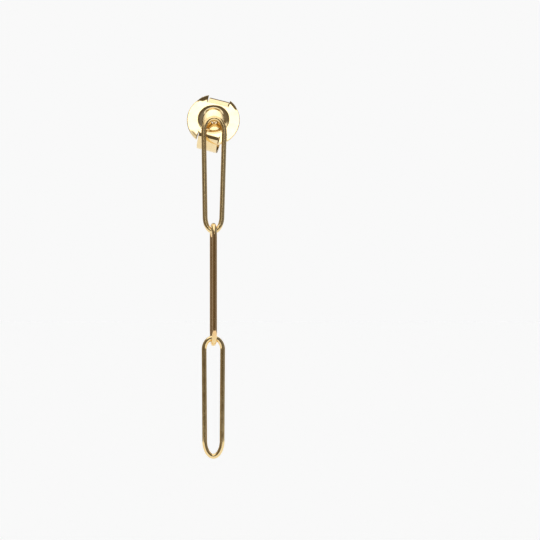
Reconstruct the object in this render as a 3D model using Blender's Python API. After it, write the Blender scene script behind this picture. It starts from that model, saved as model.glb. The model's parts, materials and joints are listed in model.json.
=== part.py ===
"""A dangle earring: three long wire links hang in each other below an ear post with a butterfly back.

The front faces -Y. The origin is the foot of the post, on the back of the top link.
The post droops towards its tip, as the earring hangs in the photograph, and the lower links hang plumb.
"""

import math
from collections import namedtuple

import bmesh
import bpy
from mathutils import Matrix, Vector

MM = 0.001

# Wire links
WIRE_DIAMETER = 0.65 * MM
LINK_LENGTH = 16.0 * MM
LINK_WIDTH = 3.03 * MM
LINK_PLAY = 0.08 * MM  # clear gap between two wires where one link hangs in the next
MIDDLE_LINK_YAW = math.radians(8.5)  # brings the middle link's front leg to the right
WIRE_SIDES = 16
BEND_STEPS = 16

# Each link's own hand-bent form: its length as a share of LINK_LENGTH, its widths as shares of LINK_WIDTH,
# and how high each bend rises as a share of the bend's half width.
LinkForm = namedtuple("LinkForm", "length upper_width lower_width upper_rise lower_rise")
Bend = namedtuple("Bend", "half_width rise")  # the half ellipse of a bend's centre line
TOP_FORM = LinkForm(length=1.0175, upper_width=1.105, lower_width=0.935, upper_rise=1.42, lower_rise=1.9)
MIDDLE_FORM = LinkForm(length=1.0, upper_width=1.0, lower_width=1.0, upper_rise=1.4, lower_rise=1.6)
BOTTOM_FORM = LinkForm(length=1.0, upper_width=1.01, lower_width=0.96, upper_rise=1.25, lower_rise=1.8)

# Ear post
POST_DIAMETER = 0.76 * MM
POST_LENGTH = 9.5 * MM
POST_TIP_ROUNDING = 0.25 * MM
SOLDER_FLARE = 0.09 * MM
SOLDER_LENGTH = 0.2 * MM
POST_DROOP = math.radians(17.0)
POST_SIDES = 20
TIP_STEPS = 4

# Butterfly back: one stamped sheet, a dished disc with two tabs rolled towards the post
BACK_GAP = 0.3 * MM  # from the back of the top link to the front of the disc
BACK_TURN = math.radians(75.0)  # the tabs' line, from +X towards +Z
BACK_ASIDE = 0.13 * MM  # from the hole's centre to the middle of disc, dish and tabs, towards the left
DISC_DIAMETER = 6.95 * MM
SHEET_THICKNESS = 0.28 * MM
HOLE_CLEARANCE = 0.10 * MM
DISH_DIAMETER = 4.2 * MM
DISH_DEPTH = 0.31 * MM
DISH_RISE = 0.11 * MM  # from the hole's centre to the dish's, towards the upper tab
Rim = namedtuple("Rim", "width lift")
LEFT_RIM = Rim(width=0.6 * MM, lift=0.10 * MM)
RIGHT_RIM = Rim(width=0.35 * MM, lift=0.06 * MM)
RIM_LEVEL = math.radians(36.0)  # to each side of a lobe's middle, before its rim starts to lift
RIM_RISE = math.radians(14.0)  # from there to the full lift, which lasts to the slit
TAB_SETBACK = 0.08 * MM  # from the dish's edge to the line where a tab starts to bend
TAB_WIDTH = 2.5 * MM
SLIT_WIDTH = 0.18 * MM
UPPER_REACH = 3.43 * MM  # how far the upper tab bulges out from the post's axis
LOWER_REACH = 3.61 * MM
ROLL_DEPTH = 3.9 * MM
SHOULDER_RADIUS = 1.0 * MM
JAW_CLEARANCE = 0.05 * MM
JAW_LENGTH = 0.4 * MM
CURL_RADIUS = 0.62 * MM
CURL_TURN = math.radians(200.0)
ROLL_STEP = math.radians(15.0)
TAB_COLUMNS = 6
LOBE_COLUMNS = 18
LOBE_STEPS = 3

# Profile of the dish from the hole's edge to the flat of the disc:
# radius as a share of the way from the hole to the dish's edge, depth as a share of DISH_DEPTH.
DishStation = namedtuple("DishStation", "radius depth")
DISH_PROFILE = (
    DishStation(radius=0.0, depth=1.0),
    DishStation(radius=0.145, depth=0.984),
    DishStation(radius=0.276, depth=0.952),
    DishStation(radius=0.474, depth=0.90),
    DishStation(radius=0.605, depth=0.855),
    DishStation(radius=0.645, depth=0.759),
    DishStation(radius=0.684, depth=0.566),
    DishStation(radius=0.737, depth=0.368),
    DishStation(radius=0.789, depth=0.225),
    DishStation(radius=0.842, depth=0.123),
    DishStation(radius=0.92, depth=0.033),
    DishStation(radius=1.0, depth=0.0),
)
DISH_FLOOR = 0.6  # the floor's share of the profile: over it, the rings move from the hole's centre to the dish's

# Width of a rolled tab's last stretch, as shares of TAB_WIDTH, which rounds its corners
TAB_END_WIDTHS = (0.97, 0.88, 0.70)

# Metal finishes
GOLD_COLOUR = (0.83, 0.62, 0.28, 1.0)
BACK_COLOUR = (0.88, 0.70, 0.33, 1.0)
WIRE_ROUGHNESS = 0.14
SHEET_ROUGHNESS = 0.10

WIRE_RADIUS = WIRE_DIAMETER / 2
POST_RADIUS = POST_DIAMETER / 2
HOLE_RADIUS = POST_RADIUS + HOLE_CLEARANCE
TAB_ROOT = DISH_DIAMETER / 2 + TAB_SETBACK
SLIT_OUTSIDE = TAB_WIDTH / 2 + SLIT_WIDTH  # from a tab's centre line to the disc beside its slit
ROOT_RADIUS = math.hypot(TAB_ROOT, SLIT_OUTSIDE)
ROOT_ANGLE = math.atan2(SLIT_OUTSIDE, TAB_ROOT)


def clear_scene():
    for obj in list(bpy.data.objects):
        bpy.data.objects.remove(obj, do_unlink=True)


def metal(name, colour, roughness):
    material = bpy.data.materials.new(name)
    material.use_nodes = True
    shader = material.node_tree.nodes["Principled BSDF"]
    shader.inputs["Base Color"].default_value = colour
    shader.inputs["Roughness"].default_value = roughness
    shader.inputs["Metallic"].default_value = 1.0
    material.diffuse_color = colour
    return material


def finished_object(name, bm, material, parent=None):
    """An object made from bm, shaded smooth."""
    mesh = bpy.data.meshes.new(name)
    bm.to_mesh(mesh)
    bm.free()
    mesh.shade_smooth()
    mesh.set_sharp_from_angle(angle=math.radians(40))
    mesh.materials.append(material)
    obj = bpy.data.objects.new(name, mesh)
    bpy.context.scene.collection.objects.link(obj)
    obj.parent = parent
    return obj


def placed_empty(name, place, parent=None):
    empty = bpy.data.objects.new(name, None)
    empty.empty_display_size = WIRE_DIAMETER
    empty.matrix_basis = place
    empty.parent = parent
    bpy.context.scene.collection.objects.link(empty)
    return empty


def bridge_rings(bm, rings, closed=False):
    """Quads between each ring of vertices and the next, and from the last to the first if closed."""
    pairs = list(zip(rings, rings[1:]))
    if closed:
        pairs.append((rings[-1], rings[0]))
    for ring, following in pairs:
        for i in range(len(ring)):
            j = (i + 1) % len(ring)
            bm.faces.new((ring[i], ring[j], following[j], following[i]))


def link_drop(form):
    """Between the centres of a link's end wires."""
    return LINK_LENGTH * form.length - WIRE_DIAMETER


def upper_bend(form):
    half_width = LINK_WIDTH * form.upper_width / 2 - WIRE_RADIUS
    return Bend(half_width, half_width * form.upper_rise)


def lower_bend(form):
    half_width = LINK_WIDTH * form.lower_width / 2 - WIRE_RADIUS
    return Bend(half_width, half_width * form.lower_rise)


def wire_spacing(bend):
    """How far a hanging wire's centre stays from a bend's middle: the bend may be too narrow to nest it."""
    spacing = WIRE_DIAMETER + LINK_PLAY
    half_width, rise = bend
    if half_width ** 2 >= rise * spacing:
        return spacing
    return rise - math.sqrt((rise ** 2 - half_width ** 2) * (1 - (spacing / half_width) ** 2))


def hang_spacing(upper_form, lower_form):
    """From the middle of one link's lower bend up to the middle of the next link's upper bend."""
    return max(wire_spacing(lower_bend(upper_form)), wire_spacing(upper_bend(lower_form)))


def link_centre_line(form):
    """Points and tangents of a link's centre line, in the XZ plane with its upper end at the origin."""
    upper = upper_bend(form)
    lower = lower_bend(form)
    line = []
    for bend, centre, start in ((upper, -upper.rise, 0.0), (lower, lower.rise - link_drop(form), math.pi)):
        for step in range(BEND_STEPS + 1):
            turn = start + math.pi * step / BEND_STEPS
            x = bend.half_width * math.cos(turn)
            z = centre + bend.rise * math.sin(turn)
            tangent = Vector((-bend.half_width * math.sin(turn), 0, bend.rise * math.cos(turn)))
            line.append((Vector((x, 0, z)), tangent.normalized()))
    return line


def link_mesh(form, lift):
    """A round wire along a link's centre line, raised by lift."""
    bm = bmesh.new()
    across = Vector((0, 1, 0))
    rings = []
    for point, tangent in link_centre_line(form):
        outward = tangent.cross(across)
        ring = []
        for side in range(WIRE_SIDES):
            angle = math.tau * side / WIRE_SIDES
            offset = outward * math.cos(angle) + across * math.sin(angle)
            ring.append(bm.verts.new(point + Vector((0, 0, lift)) + offset * WIRE_RADIUS))
        rings.append(ring)
    bridge_rings(bm, rings, closed=True)
    bmesh.ops.recalc_face_normals(bm, faces=bm.faces)
    return bm


def post_mesh():
    """The post along +Y, from inside the top link's wire, through a flare of solder, to its rounded tip."""
    bm = bmesh.new()
    profile = [
        (-WIRE_RADIUS / 2, POST_RADIUS + SOLDER_FLARE),
        (SOLDER_LENGTH / 4, POST_RADIUS + SOLDER_FLARE / 2),
        (SOLDER_LENGTH, POST_RADIUS),
    ]
    for step in range(TIP_STEPS + 1):
        turn = math.pi / 2 * step / TIP_STEPS
        y = POST_LENGTH - POST_TIP_ROUNDING * (1 - math.sin(turn))
        profile.append((y, POST_RADIUS - POST_TIP_ROUNDING * (1 - math.cos(turn))))
    rings = []
    for y, radius in profile:
        angles = [math.tau * side / POST_SIDES for side in range(POST_SIDES)]
        rings.append([bm.verts.new((radius * math.cos(a), y, radius * math.sin(a))) for a in angles])
    bridge_rings(bm, rings)
    bm.faces.new(rings[0])
    bm.faces.new(rings[-1])
    bmesh.ops.recalc_face_normals(bm, faces=bm.faces)
    return bm


def column_angles():
    """Angles of the disc's columns, for one turn from the first tab's first edge."""
    angles = []
    for half_turn in (0.0, math.pi):
        for column in range(TAB_COLUMNS):
            across = SLIT_OUTSIDE * (2 * column / TAB_COLUMNS - 1)
            angles.append(half_turn + math.atan2(across, TAB_ROOT))
        for column in range(LOBE_COLUMNS):
            span = math.pi - 2 * ROOT_ANGLE
            angles.append(half_turn + ROOT_ANGLE + span * column / LOBE_COLUMNS)
    return angles


def arc_points(centre, radii, start, sweep):
    """Points along a stretch of an ellipse, about one for each ROLL_STEP of its sweep."""
    steps = round(sweep / ROLL_STEP)
    points = []
    for step in range(steps + 1):
        turn = start + sweep * step / steps
        offset = Vector((radii[0] * math.cos(turn), radii[1] * math.sin(turn)))
        points.append(Vector(centre) + offset)
    return points


def roll_profile(root, reach):
    """A tab's outer surface from its root, as distance from the post's axis and depth behind the disc."""
    jaw = POST_RADIUS + JAW_CLEARANCE
    jaw_end = ROLL_DEPTH - SHOULDER_RADIUS - JAW_LENGTH
    quarter = math.pi / 2
    roll = arc_points((root, ROLL_DEPTH / 2), (reach - root, ROLL_DEPTH / 2), -quarter, 2 * quarter)
    shoulder = arc_points((jaw + SHOULDER_RADIUS, ROLL_DEPTH - SHOULDER_RADIUS),
                          (SHOULDER_RADIUS, SHOULDER_RADIUS), quarter, quarter)
    curl = arc_points((jaw + CURL_RADIUS, jaw_end), (CURL_RADIUS, CURL_RADIUS), 2 * quarter, CURL_TURN)
    return roll[1:] + shoulder + curl


def disc_rings(bm, columns):
    """Whole rings of the disc, from the hole through the dish to the line where tabs and lobes part."""
    dish_radius = DISH_DIAMETER / 2
    rings = []
    for station in DISH_PROFILE:
        radius = HOLE_RADIUS + (dish_radius - HOLE_RADIUS) * station.radius
        depth = DISH_DEPTH * station.depth
        moved = min(1.0, station.radius / DISH_FLOOR)
        shift = DISH_RISE * moved
        aside = BACK_ASIDE * (moved - 1.0)
        ring = [(shift + radius * math.cos(a), depth, aside + radius * math.sin(a)) for a in columns]
        rings.append([bm.verts.new(point) for point in ring])
    root = []
    for angle in columns:
        across = abs(math.sin(angle)) * ROOT_RADIUS
        radius = ROOT_RADIUS if across > SLIT_OUTSIDE else TAB_ROOT / abs(math.cos(angle))
        root.append(bm.verts.new((DISH_RISE + radius * math.cos(angle), 0, radius * math.sin(angle))))
    rings.append(root)
    bridge_rings(bm, rings)
    return root


def rim_lift(angle):
    """Share of a rim's lift at this angle from its lobe's middle."""
    share = min(1.0, max(0.0, (abs(angle) - RIM_LEVEL) / RIM_RISE))
    return share * share * (3 - 2 * share)


def add_lobe(bm, root, first, half_turn, rim):
    """One half of the disc between the two slits, out to its rim, which lifts towards the slits."""
    disc_radius = DISC_DIAMETER / 2
    rim_start = disc_radius - rim.width
    stations = [(ROOT_RADIUS + (rim_start - ROOT_RADIUS) * step / LOBE_STEPS, 0.0)
                for step in range(1, LOBE_STEPS + 1)]
    stations += [(disc_radius - rim.width / 2, rim.lift / 4), (disc_radius, rim.lift)]
    row = [root[(first + column) % len(root)] for column in range(LOBE_COLUMNS + 1)]
    for radius, lift in stations:
        edge = math.asin(SLIT_OUTSIDE / radius)
        shift = DISH_RISE * max(0.0, (rim_start - radius) / (rim_start - ROOT_RADIUS))
        following = []
        for column in range(LOBE_COLUMNS + 1):
            from_middle = (math.pi - 2 * edge) * (column / LOBE_COLUMNS - 0.5)
            angle = half_turn + math.pi / 2 + from_middle
            place = (shift + radius * math.cos(angle), -lift * rim_lift(from_middle), radius * math.sin(angle))
            following.append(bm.verts.new(place))
        for column in range(LOBE_COLUMNS):
            bm.faces.new((row[column], row[column + 1], following[column + 1], following[column]))
        row = following


def add_tab(bm, root, first, side, reach):
    """One tab, rolled back from its root and in towards the post."""
    row = [root[(first + column) % len(root)] for column in range(TAB_COLUMNS + 1)]
    profile = roll_profile(TAB_ROOT + side * DISH_RISE, reach)
    widths = [1.0] * (len(profile) - len(TAB_END_WIDTHS)) + list(TAB_END_WIDTHS)
    for point, width in zip(profile, widths):
        following = []
        for column in range(TAB_COLUMNS + 1):
            across = width * TAB_WIDTH * (column / TAB_COLUMNS - 0.5)
            following.append(bm.verts.new((side * point.x, point.y, side * across)))
        for column in range(TAB_COLUMNS):
            bm.faces.new((row[column], row[column + 1], following[column + 1], following[column]))
        row = following


def back_mesh():
    """Front surface of the butterfly back, with the post's axis along +Y and the tabs along X."""
    bm = bmesh.new()
    columns = column_angles()
    root = disc_rings(bm, columns)
    half = TAB_COLUMNS + LOBE_COLUMNS
    for turn, reach, rim in ((0, UPPER_REACH, LEFT_RIM), (1, LOWER_REACH, RIGHT_RIM)):
        add_tab(bm, root, turn * half, 1 - 2 * turn, reach)
        add_lobe(bm, root, turn * half + TAB_COLUMNS, turn * math.pi, rim)
    bmesh.ops.translate(bm, vec=(0, 0, BACK_ASIDE), verts=bm.verts)
    bmesh.ops.reverse_faces(bm, faces=bm.faces)
    return bm


def add_top_link(parent, material):
    """The top link with the post soldered to the back of its upper bend."""
    bm = link_mesh(TOP_FORM, 0.0)
    bmesh.ops.translate(bm, vec=(0, -WIRE_RADIUS, 0), verts=bm.verts)
    link = finished_object("top_link_with_post", bm, material, parent)
    post = finished_object("post_helper", post_mesh(), material, parent)
    post.hide_render = True
    post.display_type = "WIRE"
    union = link.modifiers.new("soldered_post", "BOOLEAN")
    union.operation = "UNION"
    union.solver = "EXACT"
    union.object = post


def add_butterfly_back(parent, material):
    back = finished_object("butterfly_back", back_mesh(), material, parent)
    back.location = (0, BACK_GAP + max(LEFT_RIM.lift, RIGHT_RIM.lift), 0)
    back.rotation_euler = (0, -BACK_TURN, 0)
    sheet = back.modifiers.new("sheet", "SOLIDIFY")
    sheet.thickness = SHEET_THICKNESS
    sheet.offset = -1.0
    sheet.use_even_offset = True


def build():
    clear_scene()
    wire = metal("gold_wire", GOLD_COLOUR, WIRE_ROUGHNESS)
    sheet = metal("gold_sheet", BACK_COLOUR, SHEET_ROUGHNESS)

    droop = Matrix.Rotation(-POST_DROOP, 4, "X")
    post_frame = placed_empty("post_frame", droop)
    add_top_link(post_frame, wire)
    add_butterfly_back(post_frame, sheet)

    top_foot = droop @ Vector((0, -WIRE_RADIUS, -link_drop(TOP_FORM)))
    middle_hang = placed_empty("middle_hang", Matrix.Translation(top_foot))
    middle_lift = hang_spacing(TOP_FORM, MIDDLE_FORM)
    middle = finished_object("middle_link", link_mesh(MIDDLE_FORM, middle_lift), wire, middle_hang)
    middle.rotation_euler = (0, 0, math.pi / 2 + MIDDLE_LINK_YAW)

    middle_foot = Matrix.Translation((0, 0, middle_lift - link_drop(MIDDLE_FORM)))
    bottom_hang = placed_empty("bottom_hang", middle_foot, middle_hang)
    bottom_lift = hang_spacing(MIDDLE_FORM, BOTTOM_FORM)
    finished_object("bottom_link", link_mesh(BOTTOM_FORM, bottom_lift), wire, bottom_hang)


build()
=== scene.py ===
"""Looks of a dangle earring: polished gold links, an ear post and its butterfly back in soft studio light."""

import json
import math

import bmesh
import bpy
from bpy.props import FloatProperty, FloatVectorProperty, IntProperty, PointerProperty
from mathutils import Matrix, Vector

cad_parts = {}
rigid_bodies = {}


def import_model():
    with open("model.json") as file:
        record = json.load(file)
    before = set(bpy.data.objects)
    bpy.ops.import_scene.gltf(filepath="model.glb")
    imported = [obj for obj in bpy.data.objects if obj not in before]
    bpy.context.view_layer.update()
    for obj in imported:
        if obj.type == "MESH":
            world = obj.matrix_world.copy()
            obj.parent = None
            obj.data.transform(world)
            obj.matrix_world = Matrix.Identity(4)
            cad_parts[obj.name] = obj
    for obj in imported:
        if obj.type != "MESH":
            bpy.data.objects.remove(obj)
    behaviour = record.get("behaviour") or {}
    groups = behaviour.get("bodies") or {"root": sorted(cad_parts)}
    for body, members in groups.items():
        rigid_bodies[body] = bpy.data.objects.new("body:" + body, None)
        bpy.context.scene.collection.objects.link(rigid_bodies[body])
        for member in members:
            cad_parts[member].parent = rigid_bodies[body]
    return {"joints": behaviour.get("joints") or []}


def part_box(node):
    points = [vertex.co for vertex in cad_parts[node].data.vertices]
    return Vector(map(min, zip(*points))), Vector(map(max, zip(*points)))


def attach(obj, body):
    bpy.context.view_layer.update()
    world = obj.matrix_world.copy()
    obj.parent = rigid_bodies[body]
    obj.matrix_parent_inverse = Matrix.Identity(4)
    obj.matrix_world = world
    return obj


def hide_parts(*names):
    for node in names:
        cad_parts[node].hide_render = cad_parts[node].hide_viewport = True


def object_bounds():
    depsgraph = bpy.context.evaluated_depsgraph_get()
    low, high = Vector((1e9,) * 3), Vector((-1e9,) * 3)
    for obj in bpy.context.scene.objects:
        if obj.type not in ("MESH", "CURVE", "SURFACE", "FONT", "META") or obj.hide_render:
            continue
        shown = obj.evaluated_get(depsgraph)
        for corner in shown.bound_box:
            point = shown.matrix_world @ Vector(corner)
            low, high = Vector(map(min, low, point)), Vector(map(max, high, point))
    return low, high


bl_info = {
    "name": "Wire Link Earring",
    "version": (1, 0, 0),
    "blender": (4, 5, 0),
    "location": "View3D > Sidebar > Earring",
    "description": "Adds the links, the post, the butterfly back and the studio of a dangle earring",
    "category": "Add Mesh",
}

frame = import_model()
FRAME_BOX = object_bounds()
JOINTS = {joint["name"]: joint for joint in frame["joints"]}

MM = 0.001

# Points closer together than this count as one, and edges steeper than this angle stay sharp
CLOSE = 1e-7
SHARP_ANGLE = math.radians(50)

# Places and sizes that the frame gives
BOTTOM_LOW, BOTTOM_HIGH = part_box("bottom_link")
FRAME_WIRE = BOTTOM_HIGH.y - BOTTOM_LOW.y
FRAME_LINK_LENGTH = BOTTOM_HIGH.z - BOTTOM_LOW.z
POST_AXIS = Vector(JOINTS["back_slide"]["axis"])
POST_DROOP = math.atan2(-POST_AXIS.z, POST_AXIS.y)
MIDDLE_HANG = Vector(JOINTS["middle_swing"]["pos_m"])
BOTTOM_HANG = Vector(JOINTS["bottom_swing"]["pos_m"])
BOTTOM_SWING_AXIS = Vector(JOINTS["bottom_swing"]["axis"])
MIDDLE_TURN = math.atan2(BOTTOM_SWING_AXIS.y, BOTTOM_SWING_AXIS.x)

# Each link's hand-bent form: length and widths as shares of the link's, and how high each bend rises
# as a share of the bend's half width.
LINK_FORMS = {
    "top": {"length": 1.0175, "upper_width": 1.105, "lower_width": 0.935,
            "upper_rise": 1.42, "lower_rise": 1.9},
    "middle": {"length": 1.0, "upper_width": 1.0, "lower_width": 1.0,
               "upper_rise": 1.4, "lower_rise": 1.6},
    "bottom": {"length": 1.0, "upper_width": 1.01, "lower_width": 0.96,
               "upper_rise": 1.25, "lower_rise": 1.8},
}

# The dish's profile from the hole's edge to the flat of the disc: share of the way out, share of its depth.
DISH_PROFILE = (
    (0.0, 1.0), (0.145, 0.993), (0.276, 0.981), (0.474, 0.955), (0.605, 0.928), (0.621, 0.922),
    (0.627, 0.90), (0.645, 0.81), (0.684, 0.58), (0.737, 0.368), (0.789, 0.225), (0.842, 0.123),
    (0.895, 0.055), (0.947, 0.013), (1.0, 0.0),
)

# The floor's share of that profile. Over it, the rings move from the hole's centre to the dish's.
DISH_FLOOR = 0.6

# The rim is level this far to each side of a lobe's middle, and over the next stretch it lifts
RIM_LEVEL = math.radians(36)
RIM_RISE = math.radians(14)

# How the tabs' last steps narrow, which rounds their corners
TAB_END_WIDTHS = (0.97, 0.88, 0.70)

# How far the sheet's cut edges are rounded, as a share of its thickness
EDGE_ROUNDING = 0.22

# How fine the shapes are: points round the wire's quarter, the post and the sheet's hole, and steps along
# the lobes, their rims and each stretch of a rolled tab
WIRE_FINENESS = 10
POST_POINTS = 48
TIP_STEPS = 8
SHEET_POINTS = 96
LOBE_STEPS = 4
RIM_STEPS = 5
ROLL_STEPS = 24
SHOULDER_STEPS = 10
CURL_STEPS = 20
CURL_SWEEP = math.radians(200)

# The solder round the post's foot: share of its length from the link, share of its flare there
SOLDER_PROFILE = ((0.6, 0.12), (0.3, 0.36), (0.1, 0.72))

# How the polish shows: waves for each metre, the waves' height and the hairlines' height
WIRE_POLISH = (350, 0.005 * MM, 0.0002 * MM)
SHEET_POLISH = (300, 0.010 * MM, 0.0006 * MM)

# The detail and roughness of the noise that the waves follow. The hairlines' noise has its scale before
# these two, and is stretched into upright lines.
WAVE_NOISE = (1.0, 0.4)
HAIRLINE_NOISE = (900, 2.0, 0.6)
HAIRLINE_STRETCH = (9.0, 9.0, 0.6)

# How the gold is rubbed: the scale and detail of its noise, the two values of the noise between which the
# rubbing grows, and the share of the roughness at each of them
RUBBED_NOISE = (900, 3.0)
RUBBED_SPREAD = (0.3, 0.7)
RUBBED_ROUGHNESS = (0.85, 1.25)

# What tarnish does to the colour, and its noise in the same way. The warmer gold painted on the middle link's
# legs, a painted reflection, ends this far from the link's ends, and fades over the length after that.
TARNISH = (0.96, 0.93, 0.87)
TARNISH_NOISE = (600, 4.0)
TARNISH_SPREAD = (0.35, 0.75)
PAINTED_REFLECTION_END = 0.8 * MM
PAINTED_REFLECTION_FADE = 1.2 * MM

FLOOR_GREY = (0.8, 0.8, 0.8, 1.0)

# The dim belt round the camera: degrees from the camera's side towards +X, and the belt's colour there.
# Between the two lists stands the dark side. Past the ends it is white, up to a dim strip behind the
# earring, which fades over the degrees between the last two numbers.
BELT_LEFT = ((-138, (0.22, 0.21, 0.19)), (-60, (0.18, 0.155, 0.125)))
BELT_RIGHT = ((24, (0.12, 0.10, 0.077)), (46, (0.20, 0.195, 0.20)), (100, (0.21, 0.21, 0.23)),
              (136, (0.25, 0.26, 0.31)))
BELT_ENDS = (-152, 150)
BEHIND_FADES = 158
BEHIND_STARTS = 166

# The belt's soft upper edge, as sines of the elevation. Towards +X it stands higher by BELT_RISE, and the
# list says how much of that rise it has at each turn.
BELT_EDGE = (0.62, 0.76)
BELT_RISE = 0.22
BELT_RISES = ((15, 0.0), (50, 1.0), (120, 1.0), (150, 0.0))

# The soft lamp above the camera, in degrees: its middle, and where its light starts to fade and ends
LAMP_AZIMUTH = -1.4
LAMP_ELEVATION = 33
LAMP_HALF_WIDTH = (1.2, 4.8)
LAMP_HALF_HEIGHT = (6, 13)


def length(name, description, default):
    return FloatProperty(name=name, description=description, default=default, unit="LENGTH", precision=5)


def colour(name, description, default):
    return FloatVectorProperty(name=name, description=description, default=default, subtype="COLOR",
                               size=3, min=0.0, max=1.0)


def share(name, description, default):
    return FloatProperty(name=name, description=description, default=default, min=0.0, max=1.0)


class LinkSettings(bpy.types.PropertyGroup):
    wire: length("Wire", "Diameter of the round wire", FRAME_WIRE)
    link_length: length("Length", "Outer length of a link", FRAME_LINK_LENGTH)
    link_width: length("Width", "Outer width of a plain link", 3.03 * MM)
    gold: colour("Gold", "Colour of the polished wire", (0.93, 0.715, 0.37))
    # Warm gold: the warmer colour painted on the middle link's legs as a painted reflection
    painted_reflection_gold: colour("Warm gold", "Colour of the middle link's tarnished legs", (0.95, 0.64, 0.315))
    roughness: share("Roughness", "Roughness of the polished wire", 0.10)
    bend_steps: IntProperty(name="Bend steps", description="Points round each bend", default=48, min=8)
    leg_steps: IntProperty(name="Leg steps", description="Cuts along each straight leg", default=24, min=1)


class PostSettings(bpy.types.PropertyGroup):
    diameter: length("Diameter", "Diameter of the ear post", 0.76 * MM)
    post_length: length("Length", "From the back of the top link to the tip", 9.5 * MM)
    tip_rounding: length("Tip rounding", "Radius at the tip's edge", 0.25 * MM)
    solder_flare: length("Solder flare", "How far the solder widens the post's foot", 0.09 * MM)
    solder_length: length("Solder length", "How far the solder runs up the post", 0.2 * MM)


class BackSettings(bpy.types.PropertyGroup):
    gap: length("Gap", "From the back of the top link to the flat of the disc", 0.4 * MM)
    turn: FloatProperty(name="Turn", description="The tabs' line, from +X towards +Z",
                        default=math.radians(75), subtype="ANGLE")
    aside: length("Aside", "From the hole's centre to the middle of the back, towards the left", 0.13 * MM)
    disc: length("Disc", "Diameter of the disc", 6.95 * MM)
    sheet: length("Sheet", "Thickness of the sheet", 0.28 * MM)
    hole_clearance: length("Hole clearance", "Between the post and the hole", 0.05 * MM)
    dish: length("Dish", "Diameter of the dish", 4.2 * MM)
    dish_depth: length("Dish depth", "Depth of the dish at the hole", 0.31 * MM)
    dish_rise: length("Dish rise", "From the hole's centre to the dish's, towards the upper tab", 0.11 * MM)
    left_rim: length("Left rim", "Width of the left lobe's lifted rim", 0.62 * MM)
    left_lift: length("Left lift", "How far the left rim stands forward beside the tabs", 0.15 * MM)
    right_rim: length("Right rim", "Width of the right lobe's lifted rim", 0.35 * MM)
    right_lift: length("Right lift", "How far the right rim stands forward beside the tabs", 0.06 * MM)
    lower_lift: share("Lower lift", "Share of the lift that the rims have beside the lower tab", 0.3)
    setback: length("Setback", "From the dish's edge to a tab's root", 0.08 * MM)
    tab: length("Tab", "Width of a tab", 2.66 * MM)
    slit: length("Slit", "Width of the slit beside a tab", 0.10 * MM)
    upper_reach: length("Upper reach", "How far the upper tab bulges out from the post's axis", 3.43 * MM)
    lower_reach: length("Lower reach", "How far the lower tab bulges out from the post's axis", 3.61 * MM)
    depth: length("Depth", "Depth of a rolled tab behind the disc", 3.9 * MM)
    shoulder: length("Shoulder", "Radius of the bend towards the post", 1.0 * MM)
    jaw_clearance: length("Jaw clearance", "Between the post and a tab", 0.05 * MM)
    jaw: length("Jaw", "Length of the stretch along the post", 0.4 * MM)
    curl: length("Curl", "Radius of a tab's curled end", 0.62 * MM)
    gold: colour("Gold", "Colour of the polished sheet", (0.96, 0.775, 0.455))
    roughness: share("Roughness", "Roughness of the polished sheet", 0.09)


class StudioSettings(bpy.types.PropertyGroup):
    distance: length("Distance", "From the earring to the camera", 350 * MM)
    view_width: length("View width", "Width of the view at the earring", 71.1 * MM)
    aside: length("Aside", "How far the camera stands to the earring's right", 7.35 * MM)
    below: length("Below", "How far the camera stands below the post", 19.87 * MM)
    floor_drop: length("Floor", "From the earring's lowest point to the floor", 30 * MM)
    floor_glow: colour("Floor glow", "Light that the floor gives off by itself", (0.3873, 0.4005, 0.4165))
    backdrop: colour("Backdrop", "What the camera sees past the floor", (0.947, 0.947, 0.947))
    light: colour("Light", "Colour of the white surroundings", (1.0, 0.985, 0.955))
    brightness: FloatProperty(name="Brightness", description="Strength of the white surroundings",
                              default=1.25, min=0.0)
    lamp: FloatProperty(name="Lamp", description="Strength of the soft lamp above the camera",
                        default=2.3, min=0.0)
    dark: colour("Dark side", "Colour of the unlit side round the camera", (0.10, 0.08, 0.058))
    behind: colour("Behind", "Colour of the dim strip behind the earring", (0.13, 0.10, 0.07))


def settings(name):
    return getattr(bpy.context.scene, "earring_" + name)


def leave_edit_mode():
    if bpy.context.mode != "OBJECT":
        bpy.ops.object.mode_set(mode="OBJECT")


def deselect_everything():
    leave_edit_mode()
    for obj in bpy.context.view_layer.objects:
        obj.select_set(False)


def make_active(obj):
    deselect_everything()
    obj.select_set(True)
    bpy.context.view_layer.objects.active = obj


def edit(obj, kind="VERT"):
    make_active(obj)
    bpy.ops.object.mode_set(mode="EDIT")
    bpy.ops.mesh.select_mode(type=kind)
    bpy.ops.mesh.select_all(action="DESELECT")


def select_vertices(obj, wanted):
    """Selects the vertices of the mesh in edit mode that wanted says yes to."""
    mesh = bmesh.from_edit_mesh(obj.data)
    for vertex in mesh.verts:
        vertex.select_set(wanted(vertex))
    mesh.select_flush_mode()
    bmesh.update_edit_mesh(obj.data)


def select_faces(obj, wanted):
    mesh = bmesh.from_edit_mesh(obj.data)
    for face in mesh.faces:
        face.select_set(wanted(face))
    bmesh.update_edit_mesh(obj.data)


def select_edges(obj, wanted):
    mesh = bmesh.from_edit_mesh(obj.data)
    for edge in mesh.edges:
        edge.select_set(wanted(edge))
    bmesh.update_edit_mesh(obj.data)


def apply_modifier(obj, kind, name, **values):
    make_active(obj)
    modifier = obj.modifiers.new(name, kind)
    for key, value in values.items():
        setattr(modifier, key, value)
    bpy.ops.object.modifier_apply(modifier=name)


def place(obj, matrix):
    """Puts matrix into the mesh, and leaves the object at the origin."""
    make_active(obj)
    obj.matrix_world = matrix
    bpy.context.view_layer.update()
    bpy.ops.object.transform_apply(location=True, rotation=True, scale=True)


def node(tree, kind, **values):
    made = tree.nodes.new("ShaderNode" + kind)
    for key, value in values.items():
        setattr(made, key, value)
    return made


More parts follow.
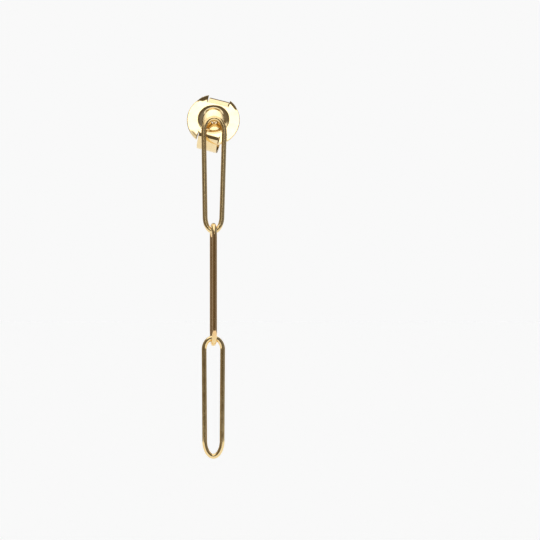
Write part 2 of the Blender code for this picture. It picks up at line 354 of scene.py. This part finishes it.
def map_range(tree, source, low, high, to_low=0.0, to_high=1.0):
    made = node(tree, "MapRange", interpolation_type="SMOOTHSTEP")
    made.inputs["From Min"].default_value = low
    made.inputs["From Max"].default_value = high
    made.inputs["To Min"].default_value = to_low
    made.inputs["To Max"].default_value = to_high
    tree.links.new(source, made.inputs["Value"])
    return made.outputs["Result"]


def maths(tree, operation, *inputs):
    made = node(tree, "Math", operation=operation)
    for socket, value in zip(made.inputs, inputs):
        if isinstance(value, (int, float)):
            socket.default_value = value
        else:
            tree.links.new(value, socket)
    return made.outputs["Value"]


def noise(tree, vector, scale, detail=2.0, roughness=0.5):
    made = node(tree, "TexNoise")
    made.inputs["Scale"].default_value = scale
    made.inputs["Detail"].default_value = detail
    made.inputs["Roughness"].default_value = roughness
    tree.links.new(vector, made.inputs["Vector"])
    return made.outputs["Fac"]


def bump(tree, height, distance, normal=None):
    """The normal of a surface that height raises by up to distance, on top of another such normal."""
    made = node(tree, "Bump")
    made.inputs["Strength"].default_value = 1.0
    made.inputs["Distance"].default_value = distance
    tree.links.new(height, made.inputs["Height"])
    if normal is not None:
        tree.links.new(normal, made.inputs["Normal"])
    return made.outputs["Normal"]


def polished_gold(name, tint, roughness, polish, painted_reflection=None):
    """Polished gold: a faint unevenness from the polishing wheel, hairline scratches and a little tarnish.

    Where the last argument is given as a colour, a height and a reach, it paints that colour on the metal
    round that height: a painted reflection."""
    wave_scale, wave_height, hairline_height = polish
    material = bpy.data.materials.new(name)
    material.use_nodes = True
    tree = material.node_tree
    shader = tree.nodes["Principled BSDF"]
    shader.inputs["Metallic"].default_value = 1.0
    place_on = node(tree, "TexCoord").outputs["Object"]

    tarnish = map_range(tree, noise(tree, place_on, *TARNISH_NOISE), *TARNISH_SPREAD)
    mix = node(tree, "Mix", data_type="RGBA", blend_type="MULTIPLY")
    mix.inputs["A"].default_value = (*tint, 1.0)
    mix.inputs["B"].default_value = (*TARNISH, 1.0)
    tree.links.new(tarnish, mix.inputs["Factor"])
    tree.links.new(mix.outputs["Result"], shader.inputs["Base Color"])
    # Painted reflection: a warmer gold round the given height, for the warm reflection on the middle link's
    # legs
    if painted_reflection:
        painted_reflection_colour, height, reach = painted_reflection
        split = node(tree, "SeparateXYZ")
        tree.links.new(place_on, split.inputs["Vector"])
        off = maths(tree, "ABSOLUTE", maths(tree, "SUBTRACT", split.outputs["Z"], height))
        inside = map_range(tree, off, reach - PAINTED_REFLECTION_FADE, reach, 1.0, 0.0)
        tree.links.new(mix_colours(tree, inside, tuple(tint), tuple(painted_reflection_colour)), mix.inputs["A"])

    smoothest, roughest = (roughness * varied for varied in RUBBED_ROUGHNESS)
    rubbed = map_range(tree, noise(tree, place_on, *RUBBED_NOISE), *RUBBED_SPREAD, smoothest, roughest)
    tree.links.new(rubbed, shader.inputs["Roughness"])

    stretch = node(tree, "Mapping")
    stretch.inputs["Scale"].default_value = HAIRLINE_STRETCH
    tree.links.new(place_on, stretch.inputs["Vector"])
    hairlines = bump(tree, noise(tree, stretch.outputs["Vector"], *HAIRLINE_NOISE), hairline_height)
    waves = bump(tree, noise(tree, place_on, wave_scale, *WAVE_NOISE), wave_height, hairlines)
    tree.links.new(waves, shader.inputs["Normal"])
    return material


def wire_gold(name="wire_gold", painted_reflection=None):
    links = settings("links")
    return (bpy.data.materials.get(name)
            or polished_gold(name, links.gold, links.roughness, WIRE_POLISH, painted_reflection))


def sheet_gold():
    back = settings("back")
    return (bpy.data.materials.get("sheet_gold")
            or polished_gold("sheet_gold", back.gold, back.roughness, SHEET_POLISH))


def wear(obj, material, body, slot, *nodes):
    """Gives a finished piece its material and its body, and hides the frame nodes that it stands for. slot is
    not used.
    """
    obj.data.materials.clear()
    obj.data.materials.append(material)
    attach(obj, body)
    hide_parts(*nodes)


def add_link(name, form):
    """A closed link of round wire in the XZ plane, with the middle of its upper bend at the origin."""
    links = settings("links")
    radius = links.wire / 2
    upper = links.link_width * form["upper_width"] / 2 - radius
    lower = links.link_width * form["lower_width"] / 2 - radius
    upper_rise = upper * form["upper_rise"]
    lower_rise = lower * form["lower_rise"]
    drop = links.link_length * form["length"] - links.wire

    deselect_everything()
    points = 2 * links.bend_steps
    bpy.ops.mesh.primitive_circle_add(vertices=points, radius=1.0, fill_type="NOTHING")
    link = bpy.context.active_object
    link.name = name
    place(link, Matrix.Rotation(math.pi / 2, 4, "X") @ Matrix.Rotation(math.pi / points, 4, "Z"))
    edit(link)
    middle = (0, 0, 0)
    for above, half_width, rise, shift in ((True, upper, upper_rise, -upper_rise),
                                           (False, lower, lower_rise, lower_rise - drop)):
        select_vertices(link, lambda v, above=above, shift=shift: (v.co.z > 0) == above and not v.hide)
        bpy.ops.transform.resize(value=(half_width, 1.0, rise), center_override=middle)
        bpy.ops.transform.translate(value=(0, 0, shift))
        bpy.ops.mesh.hide(unselected=False)
    bpy.ops.mesh.reveal(select=False)
    leg = drop - upper_rise - lower_rise
    select_edges(link, lambda e: e.calc_length() > leg / 2)
    bpy.ops.mesh.subdivide(number_cuts=links.leg_steps)
    leave_edit_mode()

    bpy.ops.object.convert(target="CURVE")
    link.data.dimensions = "3D"
    link.data.bevel_depth = radius
    link.data.bevel_resolution = WIRE_FINENESS
    bpy.ops.object.convert(target="MESH")
    edit(link)
    bpy.ops.mesh.select_all(action="SELECT")
    bpy.ops.mesh.remove_doubles(threshold=CLOSE)
    bpy.ops.mesh.normals_make_consistent(inside=False)
    leave_edit_mode()
    bpy.ops.object.shade_smooth()
    return link


def add_post():
    """The post along +Y from inside the top link's wire, with solder round its foot and a rounded tip."""
    post_size = settings("post")
    radius = post_size.diameter / 2
    foot = -settings("links").wire / 4
    deselect_everything()
    bpy.ops.mesh.primitive_cylinder_add(vertices=POST_POINTS, radius=radius,
                                        depth=post_size.post_length - foot,
                                        location=(0, (post_size.post_length + foot) / 2, 0),
                                        rotation=(-math.pi / 2, 0, 0))
    post = bpy.context.active_object
    place(post, post.matrix_world.copy())
    edit(post, "FACE")
    select_faces(post, lambda f: f.normal.y > 0.9)
    bpy.ops.mesh.region_to_loop()
    bpy.ops.mesh.bevel(offset=post_size.tip_rounding, segments=TIP_STEPS)

    for step in (1.0, *(step for step, flare in SOLDER_PROFILE)):
        bpy.ops.mesh.select_all(action="SELECT")
        bpy.ops.mesh.bisect(plane_co=(0, post_size.solder_length * step, 0), plane_no=(0, 1, 0))
    edit(post)
    for step, flare in SOLDER_PROFILE:
        ring = post_size.solder_length * step
        select_vertices(post, lambda v, ring=ring: abs(v.co.y - ring) < CLOSE)
        grow = 1 + flare * post_size.solder_flare / radius
        bpy.ops.transform.resize(value=(grow, 1, grow), center_override=(0, 0, 0))
    select_vertices(post, lambda v: v.co.y < 0)
    grow = 1 + post_size.solder_flare / radius
    bpy.ops.transform.resize(value=(grow, 1, grow), center_override=(0, 0, 0))
    leave_edit_mode()
    return post


class EARRING_OT_top_link(bpy.types.Operator):
    """Adds the top link with the ear post soldered to the back of its upper bend"""

    bl_idname = "earring.add_top_link"
    bl_label = "Top Link with Post"

    def execute(self, context):
        link = add_link("top_link_gold", LINK_FORMS["top"])
        place(link, Matrix.Translation((0, -settings("links").wire / 2, 0)))
        post = add_post()
        apply_modifier(link, "BOOLEAN", "Soldered Post", operation="UNION", solver="EXACT", object=post)
        bpy.data.objects.remove(post, do_unlink=True)
        place(link, Matrix.Rotation(-POST_DROOP, 4, "X"))
        bpy.ops.object.shade_smooth_by_angle(angle=SHARP_ANGLE)
        wear(link, wire_gold(), "front", "gold_wire", "top_link_with_post")
        return {"FINISHED"}


class EARRING_OT_hanging_links(bpy.types.Operator):
    """Adds the middle and the bottom link, each hanging in the link above it"""

    bl_idname = "earring.add_hanging_links"
    bl_label = "Hanging Links"

    def execute(self, context):
        links = settings("links")
        for part, turn, hang in (("middle", MIDDLE_TURN, MIDDLE_HANG), ("bottom", 0.0, BOTTOM_HANG)):
            link = add_link(part + "_link_gold", LINK_FORMS[part])
            low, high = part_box(part + "_link")
            top = high.z - links.wire / 2
            place(link, Matrix.Translation((hang.x, hang.y, top)) @ Matrix.Rotation(turn, 4, "Z"))
            gold = wire_gold()
            # The middle link's legs get the warmer gold of a painted reflection
            if part == "middle":
                reach = links.link_length / 2 - PAINTED_REFLECTION_END
                gold = wire_gold("painted_reflection_wire_gold", (links.painted_reflection_gold, (low.z + high.z) / 2, reach))
            wear(link, gold, part, "gold_wire", part + "_link")
        return {"FINISHED"}


def arc_points(centre, radii, start, sweep, steps):
    points = []
    for step in range(steps + 1):
        turn = start + sweep * step / steps
        points.append(Vector((centre[0] + radii[0] * math.cos(turn), centre[1] + radii[1] * math.sin(turn))))
    return points


def roll_profile(back, root, reach, post_radius):
    """A tab's outer surface from its root, as distance from the post's axis and depth behind the disc."""
    jaw = post_radius + back.jaw_clearance
    quarter = math.pi / 2
    roll = arc_points((root, back.depth / 2), (reach - root, back.depth / 2), -quarter, 2 * quarter,
                      ROLL_STEPS)
    shoulder = arc_points((jaw + back.shoulder, back.depth - back.shoulder),
                          (back.shoulder, back.shoulder), quarter, quarter, SHOULDER_STEPS)
    curl = arc_points((jaw + back.curl, back.depth - back.shoulder - back.jaw), (back.curl, back.curl),
                      2 * quarter, CURL_SWEEP, CURL_STEPS)
    return roll + shoulder + curl


def extrude_edges(move=(0, 0, 0), grow=1.0, centre=(0, 0, 0)):
    """Extrudes the selected edges of the sheet, grows the new ones away from a centre and moves them."""
    bpy.ops.mesh.extrude_edges_move(TRANSFORM_OT_translate={"value": (0, 0, 0)})
    bpy.ops.transform.resize(value=(grow, grow, 1), center_override=centre)
    bpy.ops.transform.translate(value=move)


def move_selected(obj, where):
    """Moves each selected vertex to the place that where gives for it."""
    mesh = bmesh.from_edit_mesh(obj.data)
    for vertex in mesh.verts:
        if vertex.select:
            vertex.co = where(vertex.co)
    bmesh.update_edit_mesh(obj.data)


def add_back_sheet():
    """Front surface of the butterfly back, with the post's axis along Z and the tabs' line on X.

    The back's middle is at the origin and the hole back.aside to the right of it."""
    back = settings("back")
    post_radius = settings("post").diameter / 2
    hole = post_radius + back.hole_clearance
    dish = back.dish / 2
    root = dish + back.setback
    beside_slit = back.tab / 2 + back.slit
    root_circle = math.hypot(root, beside_slit)
    disc = back.disc / 2

    deselect_everything()
    bpy.ops.mesh.primitive_circle_add(vertices=SHEET_POINTS, radius=hole, fill_type="NOTHING",
                                      location=(0, back.aside, back.dish_depth))
    sheet = bpy.context.active_object
    sheet.name = "butterfly_back_gold"
    place(sheet, sheet.matrix_world.copy())
    edit(sheet)
    bpy.ops.mesh.select_all(action="SELECT")
    radius, centre = hole, Vector((0, back.aside, back.dish_depth))
    for out, down in DISH_PROFILE[1:]:
        new_radius = hole + (dish - hole) * out
        moved = min(1, out / DISH_FLOOR)
        new_centre = Vector((back.dish_rise * moved, back.aside * (1 - moved), back.dish_depth * down))
        extrude_edges(move=new_centre - centre, grow=new_radius / radius, centre=centre)
        radius, centre = new_radius, new_centre

    extrude_edges(grow=root_circle / radius, centre=centre)

    def to_root_line(co):
        if abs(co.y) > beside_slit * (1 - 1e-6):
            return co
        return Vector((centre.x + math.copysign(root, co.x - centre.x), co.y, co.z))

    spread_root(sheet, root, beside_slit, centre.x)
    move_selected(sheet, to_root_line)
    extrude_lobes(sheet, root_circle, beside_slit, disc, back)
    extrude_tabs(sheet, root, beside_slit, back, post_radius)
    leave_edit_mode()
    return sheet


def spread_root(sheet, root, beside_slit, centre):
    """Slides the ring's nearest points onto the four corners where the slits end."""
    mesh = bmesh.from_edit_mesh(sheet.data)
    ring = [v for v in mesh.verts if v.select]
    for x in (centre + root, centre - root):
        for y in (beside_slit, -beside_slit):
            corner = Vector((x, y, 0))
            nearest = min(ring, key=lambda v: (v.co - corner).length)
            nearest.co = corner
    bmesh.update_edit_mesh(sheet.data)


def extrude_lobes(sheet, root_circle, beside_slit, disc, back):
    """The two halves of the disc beside the tabs, out to the rim, which lifts towards the tabs."""
    start = Vector((back.dish_rise, 0))
    for side, rim, rim_lift in ((-1, back.left_rim, back.left_lift), (1, back.right_rim, back.right_lift)):
        select_edges(sheet, lambda e, side=side: all(
            abs((v.co.xy - start).length - root_circle) < CLOSE and side * v.co.y > beside_slit - CLOSE
            for v in e.verts))
        flat_edge = disc - rim
        stations = [(root_circle + (flat_edge - root_circle) * step / LOBE_STEPS, 0.0)
                    for step in range(1, LOBE_STEPS + 1)]
        stations += [(disc - rim * (1 - step / RIM_STEPS), rim_lift * (step / RIM_STEPS) ** 2)
                     for step in range(1, RIM_STEPS + 1)]
        radius, centre = root_circle, back.dish_rise
        for new_radius, lift in stations:
            extrude_edges()
            edge = math.asin(beside_slit / radius)
            new_edge = math.asin(beside_slit / new_radius)
            stretch = (math.pi / 2 - new_edge) / (math.pi / 2 - edge)
            new_centre = back.dish_rise * max(0, (flat_edge - new_radius) / (flat_edge - root_circle))

            def beside_tabs(co):
                turn = math.atan2(co.x - centre, side * co.y) * stretch
                rise = min(1, max(0, (abs(turn) - RIM_LEVEL) / RIM_RISE))
                rise *= rise * (3 - 2 * rise) * (1 if turn > 0 else back.lower_lift)
                return Vector((new_centre + new_radius * math.sin(turn), side * new_radius * math.cos(turn),
                               -lift * rise))

            move_selected(sheet, beside_tabs)
            radius, centre = new_radius, new_centre


def extrude_tabs(sheet, root, beside_slit, back, post_radius):
    """Both tabs, rolled back from their roots and in towards the post."""
    for side, reach in ((1, back.upper_reach), (-1, back.lower_reach)):
        place_x = back.dish_rise + side * root
        profile = roll_profile(back, abs(place_x), reach, post_radius)
        widths = [1.0] * (len(profile) - len(TAB_END_WIDTHS)) + list(TAB_END_WIDTHS)
        select_edges(sheet, lambda e, x=place_x: all(
            abs(v.co.x - x) < CLOSE and abs(v.co.y) < beside_slit + CLOSE and abs(v.co.z) < CLOSE
            for v in e.verts))
        half_width = beside_slit
        for before, after, width in zip(profile, profile[1:], widths[1:]):
            step = after - before
            extrude_edges(move=(side * step.x, 0, step.y))
            new_half = width * back.tab / 2
            bpy.ops.transform.resize(value=(1, new_half / half_width, 1), center_override=(0, 0, 0))
            half_width = new_half


class EARRING_OT_butterfly_back(bpy.types.Operator):
    """Adds the butterfly back: a dished disc of sheet with two tabs rolled back round the post"""

    bl_idname = "earring.add_butterfly_back"
    bl_label = "Butterfly Back"

    def execute(self, context):
        back = settings("back")
        sheet = add_back_sheet()
        edit(sheet, "FACE")
        select_faces(sheet, lambda f: True)
        mesh = bmesh.from_edit_mesh(sheet.data)
        mesh.normal_update()
        middles = {face: face.calc_center_median() for face in mesh.faces}
        flat = max(mesh.faces, key=lambda f: middles[f].xy.length - 1e3 * abs(middles[f].z))
        if flat.normal.z > 0:
            bpy.ops.mesh.flip_normals()
        leave_edit_mode()
        apply_modifier(sheet, "SOLIDIFY", "Sheet", thickness=back.sheet, offset=-1.0, use_even_offset=True)
        apply_modifier(sheet, "BEVEL", "Sheared Edges", width=back.sheet * EDGE_ROUNDING, segments=2,
                       limit_method="ANGLE", angle_limit=SHARP_ANGLE)
        apply_modifier(sheet, "SUBSURF", "Smooth", levels=1, render_levels=1)
        place(sheet, Matrix.Rotation(-POST_DROOP, 4, "X")
              @ Matrix.Translation((0, back.gap, 0))
              @ Matrix.Rotation(-back.turn, 4, "Y")
              @ Matrix.Rotation(-math.pi / 2, 4, "X")
              @ Matrix.Translation((0, -back.aside, 0)))
        bpy.ops.object.shade_smooth()
        wear(sheet, sheet_gold(), "back", "gold_sheet", "butterfly_back")
        return {"FINISHED"}


def add_camera(studio):
    deselect_everything()
    bpy.ops.object.camera_add(location=(studio.aside, -studio.distance, -studio.below),
                              rotation=(math.pi / 2, 0, 0))
    camera = bpy.context.active_object
    camera.name = "camera"
    camera.data.sensor_width = 36.0
    camera.data.lens = camera.data.sensor_width * studio.distance / studio.view_width
    camera.data.clip_start = studio.distance / 50
    camera.data.clip_end = studio.distance * 50
    bpy.context.scene.camera = camera


def add_floor(studio):
    """A pale table from below the camera back to the backdrop."""
    deselect_everything()
    height = FRAME_BOX[0].z - studio.floor_drop
    bpy.ops.mesh.primitive_plane_add(size=1)
    floor = bpy.context.active_object
    floor.name = "floor"
    depth = 8 * studio.distance
    place(floor, Matrix.Translation((0, depth / 2 - studio.distance, height))
          @ Matrix.Diagonal((2 * studio.distance, depth, 1, 1)))
    material = bpy.data.materials.new("pale_floor")
    material.use_nodes = True
    tree = material.node_tree
    shader = tree.nodes["Principled BSDF"]
    shader.inputs["Base Color"].default_value = FLOOR_GREY
    shader.inputs["Roughness"].default_value = 1.0
    shader.inputs["Specular IOR Level"].default_value = 0.0
    shader.inputs["Emission Color"].default_value = (*studio.floor_glow, 1.0)
    shader.inputs["Emission Strength"].default_value = 1.0
    floor.data.materials.append(material)


def colour_ramp(tree, turn, degree_stops):
    """Colours by turn, which is 0.5 at the camera's side and grows by 1 over a full turn towards +X."""
    stops = [(0.5 + degrees / 360, tint) for degrees, tint in degree_stops]
    ramp = node(tree, "ValToRGB")
    ramp.color_ramp.elements[0].position = stops[0][0]
    ramp.color_ramp.elements[0].color = (*stops[0][1], 1.0)
    ramp.color_ramp.elements[1].position = stops[-1][0]
    ramp.color_ramp.elements[1].color = (*stops[-1][1], 1.0)
    for position, tint in stops[1:-1]:
        ramp.color_ramp.elements.new(position).color = (*tint, 1.0)
    tree.links.new(turn, ramp.inputs["Fac"])
    return ramp.outputs["Color"]


def mix_colours(tree, share_of_second, first, second):
    mix = node(tree, "Mix", data_type="RGBA")
    tree.links.new(share_of_second, mix.inputs["Factor"])
    for socket, value in ((mix.inputs["A"], first), (mix.inputs["B"], second)):
        if isinstance(value, tuple):
            socket.default_value = (*value, 1.0)
        else:
            tree.links.new(value, socket)
    return mix.outputs["Result"]


def add_surroundings(studio):
    """White surroundings, a dim belt round the camera, and one soft lamp above the camera."""
    world = bpy.data.worlds.new("studio")
    bpy.context.scene.world = world
    world.use_nodes = True
    tree = world.node_tree
    output = tree.nodes["World Output"]
    seen = tree.nodes["Background"]
    seen.inputs["Color"].default_value = (*studio.backdrop, 1.0)
    direction = node(tree, "TexCoord").outputs["Generated"]
    split = node(tree, "SeparateXYZ")
    tree.links.new(direction, split.inputs["Vector"])
    across, along, up = split.outputs
    azimuth = maths(tree, "ARCTAN2", across, maths(tree, "MULTIPLY", along, -1.0))
    turn = maths(tree, "MULTIPLY_ADD", azimuth, 0.5 / math.pi, 0.5)
    white = tuple(channel * studio.brightness for channel in studio.light)
    left_end, right_end = BELT_ENDS
    behind = studio.behind[:]
    belt = colour_ramp(tree, turn, (
        (-180, behind), (-BEHIND_STARTS, behind), (-BEHIND_FADES, white),
        (left_end, white), *BELT_LEFT, (0, studio.dark[:]), *BELT_RIGHT, (right_end, white),
        (BEHIND_FADES, white), (BEHIND_STARTS, behind), (180, behind)))
    rises = colour_ramp(tree, turn, [(degrees, (rise,) * 3) for degrees, rise in BELT_RISES])
    height_in_belt = maths(tree, "SUBTRACT", up, maths(tree, "MULTIPLY", rises, BELT_RISE))
    around = mix_colours(tree, map_range(tree, height_in_belt, *BELT_EDGE, 1.0, 0.0), white, belt)

    shares = []
    for angle, centre, fade in ((azimuth, LAMP_AZIMUTH, LAMP_HALF_WIDTH),
                                (maths(tree, "ARCSINE", up), LAMP_ELEVATION, LAMP_HALF_HEIGHT)):
        off = maths(tree, "ABSOLUTE", maths(tree, "SUBTRACT", angle, math.radians(centre)))
        shares.append(map_range(tree, off, math.radians(fade[0]), math.radians(fade[1]), 1.0, 0.0))
    lamp = tuple(channel * studio.lamp for channel in studio.light)
    around = mix_colours(tree, maths(tree, "MULTIPLY", *shares), around, lamp)

    lit = node(tree, "Background")
    tree.links.new(around, lit.inputs["Color"])
    choose = node(tree, "MixShader")
    tree.links.new(node(tree, "LightPath").outputs["Is Camera Ray"], choose.inputs["Fac"])
    tree.links.new(lit.outputs["Background"], choose.inputs[1])
    tree.links.new(seen.outputs["Background"], choose.inputs[2])
    tree.links.new(choose.outputs["Shader"], output.inputs["Surface"])


class EARRING_OT_studio(bpy.types.Operator):
    """Adds the camera, the pale floor and the soft white surroundings"""

    bl_idname = "earring.add_studio"
    bl_label = "Studio"

    def execute(self, context):
        studio = settings("studio")
        add_camera(studio)
        add_floor(studio)
        add_surroundings(studio)
        context.scene.view_settings.view_transform = "Standard"
        return {"FINISHED"}


class EARRING_PT_panel(bpy.types.Panel):
    """Lists the earring's pieces and their sizes"""

    bl_idname = "EARRING_PT_panel"
    bl_label = "Wire Link Earring"
    bl_space_type = "VIEW_3D"
    bl_region_type = "UI"
    bl_category = "Earring"

    def draw(self, context):
        layout = self.layout
        for operator, groups in PANEL_ROWS:
            box = layout.box()
            box.operator(operator.bl_idname)
            for name in groups:
                group = settings(name)
                for key in group.bl_rna.properties.keys():
                    if key not in {"rna_type", "name"}:
                        box.prop(group, key)


PANEL_ROWS = (
    (EARRING_OT_top_link, ("links", "post")),
    (EARRING_OT_hanging_links, ()),
    (EARRING_OT_butterfly_back, ("back",)),
    (EARRING_OT_studio, ("studio",)),
)
GROUPS = {"links": LinkSettings, "post": PostSettings, "back": BackSettings, "studio": StudioSettings}
CLASSES = (*GROUPS.values(), *(operator for operator, _ in PANEL_ROWS), EARRING_PT_panel)


def register():
    for made in CLASSES:
        bpy.utils.register_class(made)
    for name, group in GROUPS.items():
        setattr(bpy.types.Scene, "earring_" + name, PointerProperty(type=group))


def unregister():
    for name in GROUPS:
        delattr(bpy.types.Scene, "earring_" + name)
    for made in reversed(CLASSES):
        bpy.utils.unregister_class(made)


def main():
    register()
    bpy.ops.earring.add_studio()
    bpy.ops.earring.add_top_link()
    bpy.ops.earring.add_hanging_links()
    bpy.ops.earring.add_butterfly_back()
    deselect_everything()


if __name__ == "__main__":
    main()
